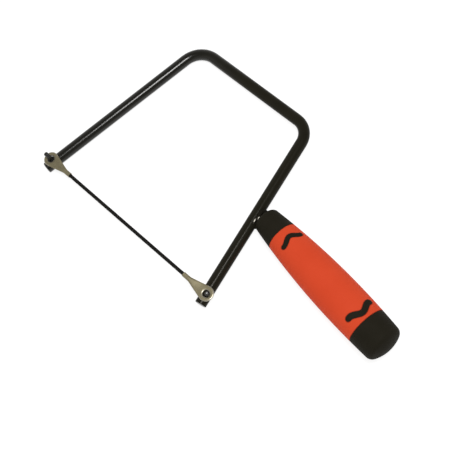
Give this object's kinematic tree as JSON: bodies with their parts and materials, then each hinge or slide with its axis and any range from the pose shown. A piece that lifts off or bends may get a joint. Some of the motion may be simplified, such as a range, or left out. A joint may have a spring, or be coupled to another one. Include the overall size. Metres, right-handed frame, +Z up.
{
  "type": "rod saw",
  "caption": "Hand rod saw: a bent round-bar frame springs a grit-coated wire blade between leaning pins, with a two-colour moulded handle on a tang welded to the rear arm.",
  "frame": {"origin": "middle of the saw's box at its lowest level, on the surface that the saw lies on", "axes": "+X along the blade from the toe towards the handle, +Y from the blade towards the back bar, +Z up, towards the side that the blade pins stand on, with the saw lying on its front arm and handle"},
  "size_m": [0.268, 0.139, 0.0301],
  "materials": {
    "black_paint": "gloss black paint over steel bar",
    "dark_steel": "blackened steel pin",
    "tab_steel": "zinc-plated sheet with an olive-grey passivated tone",
    "grit": "dark carbide grit brazed on wire",
    "soft_black": "matt soft-touch black",
    "orange_plastic": "satin orange moulding"
  },
  "bodies": {
    "saw_frame": {"frame_rod": "black_paint", "rear_blade_pin": "dark_steel", "handle_tang": "black_paint", "tang_weld": "black_paint", "handle_core": "soft_black", "grip_sleeve": "orange_plastic", "butt_cap": "soft_black"},
    "front_end": {"front_blade_pin": "dark_steel"},
    "blade": {"front_blade_tab": "tab_steel", "rear_blade_tab": "tab_steel", "blade_rod": "grit"}
  },
  "joints": [
    {"name": "blade_unhook", "type": "hinge", "parent": "saw_frame", "child": "blade", "pos_m": [0.02258, -0.06143, 0.01178], "axis": [-0.1837, 0.9828, -0.0191], "range_deg": [0, 4.5]},
    {"name": "front_arm_spring", "type": "hinge", "parent": "saw_frame", "child": "front_end", "pos_m": [-0.10382, 0.06553, 0.00397], "axis": [-0.0519, 0.0097, 0.9986], "range_deg": [0, 2.6], "deforming": ["frame_rod"]}
  ],
  "couplings": [
    {"joint": "front_arm_spring", "follows": "blade_unhook", "ratio": 0.57}
  ]
}
